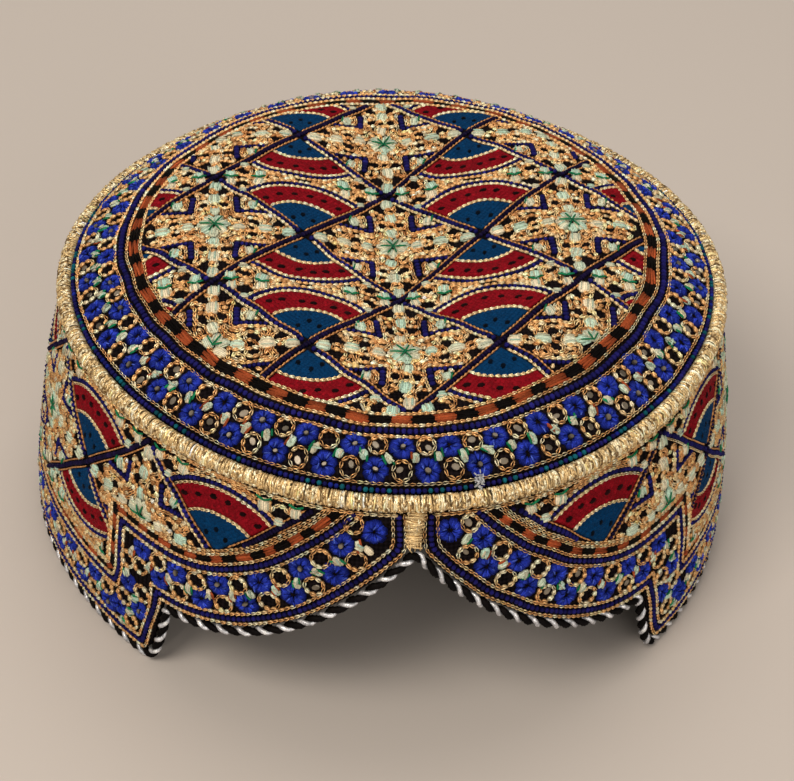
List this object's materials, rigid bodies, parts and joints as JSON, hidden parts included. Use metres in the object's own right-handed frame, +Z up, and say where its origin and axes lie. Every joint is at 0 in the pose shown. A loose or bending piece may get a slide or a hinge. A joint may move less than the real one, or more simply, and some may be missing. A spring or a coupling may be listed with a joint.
{
  "type": "embroidered cap",
  "caption": "Round embroidered cloth cap with a low domed crown, a flaring side wall, wound and twisted cord trims and a stepped, arched front edge.",
  "frame": {"origin": "middle of the footprint, on the surface that the lower edge stands on", "axes": "+Z up through the crown, -Y towards the arched front edge, +X towards the wearer's left"},
  "size_m": [0.1842, 0.1872, 0.0817],
  "materials": {
    "crown": "dense stitching in gold, navy, blue, crimson, teal and white thread",
    "side_band": "dense stitching in gold, navy, blue, crimson, teal and white thread",
    "rim_cord": "wound pale gold thread",
    "front_seam": "wound pale gold thread",
    "hem_cord": "black and silver twisted cord"
  },
  "bodies": {
    "root": {"crown": "crown", "side_band": "side_band", "rim_cord": "rim_cord", "front_seam": "front_seam", "hem_cord": "hem_cord"}
  },
  "joints": []
}
